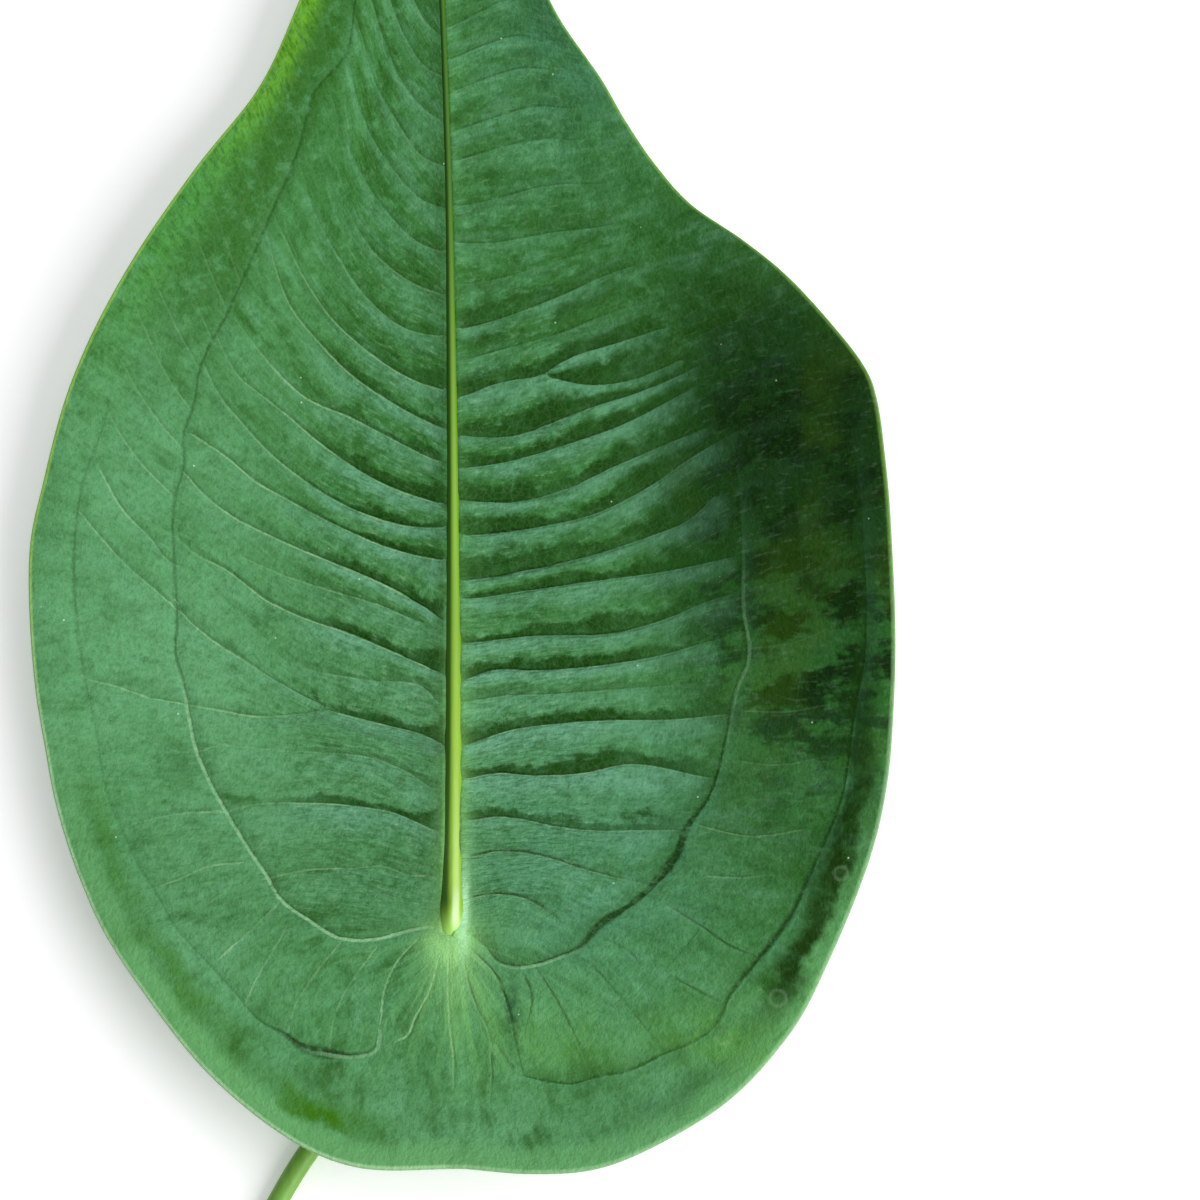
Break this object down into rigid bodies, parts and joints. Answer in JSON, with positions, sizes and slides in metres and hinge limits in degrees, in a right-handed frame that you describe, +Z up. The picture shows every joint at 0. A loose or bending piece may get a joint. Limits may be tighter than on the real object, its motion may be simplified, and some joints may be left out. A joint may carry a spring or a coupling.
{
  "type": "anthurium leaf",
  "caption": "Heart-shaped cupped anthurium leaf with sunken veins and quilted surface, laid flat with its curved stalk and raised midrib.",
  "frame": {"origin": "middle of the whole leaf's footprint, on the surface that it lies on", "axes": "+Y from the stalk's side to the leaf's tip, +Z up through the top of the blade, +X to the right of the midrib seen from above"},
  "size_m": [0.1822, 0.4481, 0.0269],
  "materials": {
    "leaf_green": "satin",
    "stalk_yellow_green": "satin"
  },
  "bodies": {
    "root": {"leaf_blade": "leaf_green", "stalk": "stalk_yellow_green"}
  },
  "joints": []
}
